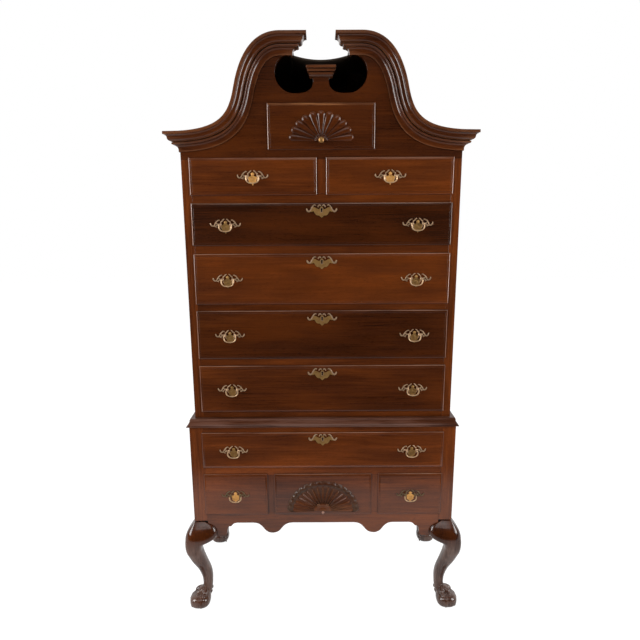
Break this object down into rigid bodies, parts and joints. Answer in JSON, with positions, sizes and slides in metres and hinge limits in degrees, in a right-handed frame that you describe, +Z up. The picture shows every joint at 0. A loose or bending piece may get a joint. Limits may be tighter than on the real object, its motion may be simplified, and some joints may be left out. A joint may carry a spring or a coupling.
{
  "type": "highboy",
  "caption": "Bonnet-top highboy: a chest of drawers with a scrolled pediment, on a lower case with cabriole legs; drawers slide out, brass bails swing",
  "frame": {"origin": "on the floor, midway between the sides and midway between the front and back feet", "axes": "+Z up, +X to the viewer's right when facing the drawers, +Y to the back; the drawers open towards -Y"},
  "size_m": [1.0884, 0.5104, 2.136],
  "materials": {
    "mahogany": "dark red-brown mahogany under an old satin varnish",
    "poplar": "bare secondary wood, aged brown",
    "brass": "cast brass, softly polished, darker in the hollows"
  },
  "bodies": {
    "case": {"upper_frame": "mahogany", "upper_left_side": "mahogany", "upper_right_side": "mahogany", "upper_back": "poplar", "tympanum": "mahogany", "scroll_moulding_left": "mahogany", "scroll_moulding_right": "mahogany", "cornice_left": "mahogany", "cornice_right": "mahogany", "bonnet_roof_left": "poplar", "bonnet_roof_right": "poplar", "waist_moulding": "mahogany", "lower_frame": "mahogany", "lower_left_side": "mahogany", "lower_right_side": "mahogany", "lower_back": "poplar", "front_left_leg": "mahogany", "front_right_leg": "mahogany", "back_left_leg": "mahogany", "back_right_leg": "mahogany"},
    "shell_drawer": {"shell_drawer": "mahogany", "shell_drawer_knob": "brass"},
    "small_drawer_left_bail": {"small_drawer_left_bail": "brass"},
    "small_drawer_left": {"small_drawer_left": "mahogany", "small_drawer_left_plate": "brass"},
    "small_drawer_right_bail": {"small_drawer_right_bail": "brass"},
    "small_drawer_right": {"small_drawer_right": "mahogany", "small_drawer_right_plate": "brass"},
    "long_drawer_1_left_bail": {"long_drawer_1_left_bail": "brass"},
    "long_drawer_1_right_bail": {"long_drawer_1_right_bail": "brass"},
    "long_drawer_1": {"long_drawer_1": "mahogany", "long_drawer_1_left_plate": "brass", "long_drawer_1_right_plate": "brass"},
    "long_drawer_2_left_bail": {"long_drawer_2_left_bail": "brass"},
    "long_drawer_2_right_bail": {"long_drawer_2_right_bail": "brass"},
    "long_drawer_2": {"long_drawer_2": "mahogany", "long_drawer_2_left_plate": "brass", "long_drawer_2_right_plate": "brass"},
    "long_drawer_3_left_bail": {"long_drawer_3_left_bail": "brass"},
    "long_drawer_3_right_bail": {"long_drawer_3_right_bail": "brass"},
    "long_drawer_3": {"long_drawer_3": "mahogany", "long_drawer_3_left_plate": "brass", "long_drawer_3_right_plate": "brass"},
    "long_drawer_4_left_bail": {"long_drawer_4_left_bail": "brass"},
    "long_drawer_4_right_bail": {"long_drawer_4_right_bail": "brass"},
    "long_drawer_4": {"long_drawer_4": "mahogany", "long_drawer_4_left_plate": "brass", "long_drawer_4_right_plate": "brass"},
    "lower_long_drawer_left_bail": {"lower_long_drawer_left_bail": "brass"},
    "lower_long_drawer_right_bail": {"lower_long_drawer_right_bail": "brass"},
    "lower_long_drawer": {"lower_long_drawer": "mahogany", "lower_long_drawer_left_plate": "brass", "lower_long_drawer_right_plate": "brass"},
    "lower_small_drawer_left_bail": {"lower_small_drawer_left_bail": "brass"},
    "lower_small_drawer_left": {"lower_small_drawer_left": "mahogany", "lower_small_drawer_left_plate": "brass"},
    "lower_small_drawer_right_bail": {"lower_small_drawer_right_bail": "brass"},
    "lower_small_drawer_right": {"lower_small_drawer_right": "mahogany", "lower_small_drawer_right_plate": "brass"},
    "lower_shell_drawer": {"lower_shell_drawer": "mahogany"}
  },
  "joints": [
    {"name": "shell_drawer_slide", "type": "slide", "parent": "case", "child": "shell_drawer", "axis": [0, -1, 0], "range_m": [0, 0.3]},
    {"name": "small_drawer_left_slide", "type": "slide", "parent": "case", "child": "small_drawer_left", "axis": [0, -1, 0], "range_m": [0, 0.3]},
    {"name": "small_drawer_left_bail_swing", "type": "hinge", "parent": "small_drawer_left", "child": "small_drawer_left_bail", "pos_m": [-0.238, -0.2153, 1.687], "axis": [-1, 0, 0], "range_deg": [-12, 185]},
    {"name": "small_drawer_right_slide", "type": "slide", "parent": "case", "child": "small_drawer_right", "axis": [0, -1, 0], "range_m": [0, 0.3]},
    {"name": "small_drawer_right_bail_swing", "type": "hinge", "parent": "small_drawer_right", "child": "small_drawer_right_bail", "pos_m": [0.238, -0.2153, 1.687], "axis": [-1, 0, 0], "range_deg": [-12, 185]},
    {"name": "long_drawer_1_slide", "type": "slide", "parent": "case", "child": "long_drawer_1", "axis": [0, -1, 0], "range_m": [0, 0.3]},
    {"name": "long_drawer_1_left_bail_swing", "type": "hinge", "parent": "long_drawer_1", "child": "long_drawer_1_left_bail", "pos_m": [-0.338, -0.2153, 1.5235], "axis": [-1, 0, 0], "range_deg": [-12, 185]},
    {"name": "long_drawer_1_right_bail_swing", "type": "hinge", "parent": "long_drawer_1", "child": "long_drawer_1_right_bail", "pos_m": [0.338, -0.2153, 1.5235], "axis": [-1, 0, 0], "range_deg": [-12, 185]},
    {"name": "long_drawer_2_slide", "type": "slide", "parent": "case", "child": "long_drawer_2", "axis": [0, -1, 0], "range_m": [0, 0.3]},
    {"name": "long_drawer_2_left_bail_swing", "type": "hinge", "parent": "long_drawer_2", "child": "long_drawer_2_left_bail", "pos_m": [-0.338, -0.2153, 1.33], "axis": [-1, 0, 0], "range_deg": [-12, 185]},
    {"name": "long_drawer_2_right_bail_swing", "type": "hinge", "parent": "long_drawer_2", "child": "long_drawer_2_right_bail", "pos_m": [0.338, -0.2153, 1.33], "axis": [-1, 0, 0], "range_deg": [-12, 185]},
    {"name": "long_drawer_3_slide", "type": "slide", "parent": "case", "child": "long_drawer_3", "axis": [0, -1, 0], "range_m": [0, 0.3]},
    {"name": "long_drawer_3_left_bail_swing", "type": "hinge", "parent": "long_drawer_3", "child": "long_drawer_3_left_bail", "pos_m": [-0.338, -0.2153, 1.1245], "axis": [-1, 0, 0], "range_deg": [-12, 185]},
    {"name": "long_drawer_3_right_bail_swing", "type": "hinge", "parent": "long_drawer_3", "child": "long_drawer_3_right_bail", "pos_m": [0.338, -0.2153, 1.1245], "axis": [-1, 0, 0], "range_deg": [-12, 185]},
    {"name": "long_drawer_4_slide", "type": "slide", "parent": "case", "child": "long_drawer_4", "axis": [0, -1, 0], "range_m": [0, 0.3]},
    {"name": "long_drawer_4_left_bail_swing", "type": "hinge", "parent": "long_drawer_4", "child": "long_drawer_4_left_bail", "pos_m": [-0.338, -0.2153, 0.9165], "axis": [-1, 0, 0], "range_deg": [-12, 185]},
    {"name": "long_drawer_4_right_bail_swing", "type": "hinge", "parent": "long_drawer_4", "child": "long_drawer_4_right_bail", "pos_m": [0.338, -0.2153, 0.9165], "axis": [-1, 0, 0], "range_deg": [-12, 185]},
    {"name": "lower_long_drawer_slide", "type": "slide", "parent": "case", "child": "lower_long_drawer", "axis": [0, -1, 0], "range_m": [0, 0.3]},
    {"name": "lower_long_drawer_left_bail_swing", "type": "hinge", "parent": "lower_long_drawer", "child": "lower_long_drawer_left_bail", "pos_m": [-0.338, -0.2353, 0.6785], "axis": [-1, 0, 0], "range_deg": [-12, 185]},
    {"name": "lower_long_drawer_right_bail_swing", "type": "hinge", "parent": "lower_long_drawer", "child": "lower_long_drawer_right_bail", "pos_m": [0.338, -0.2353, 0.6785], "axis": [-1, 0, 0], "range_deg": [-12, 185]},
    {"name": "lower_small_drawer_left_slide", "type": "slide", "parent": "case", "child": "lower_small_drawer_left", "axis": [0, -1, 0], "range_m": [0, 0.3]},
    {"name": "lower_small_drawer_left_bail_swing", "type": "hinge", "parent": "lower_small_drawer_left", "child": "lower_small_drawer_left_bail", "pos_m": [-0.338, -0.2353, 0.4945], "axis": [-1, 0, 0], "range_deg": [-12, 185]},
    {"name": "lower_small_drawer_right_slide", "type": "slide", "parent": "case", "child": "lower_small_drawer_right", "axis": [0, -1, 0], "range_m": [0, 0.3]},
    {"name": "lower_small_drawer_right_bail_swing", "type": "hinge", "parent": "lower_small_drawer_right", "child": "lower_small_drawer_right_bail", "pos_m": [0.338, -0.2353, 0.4945], "axis": [-1, 0, 0], "range_deg": [-12, 185]},
    {"name": "lower_shell_drawer_slide", "type": "slide", "parent": "case", "child": "lower_shell_drawer", "axis": [0, -1, 0], "range_m": [0, 0.3]}
  ]
}
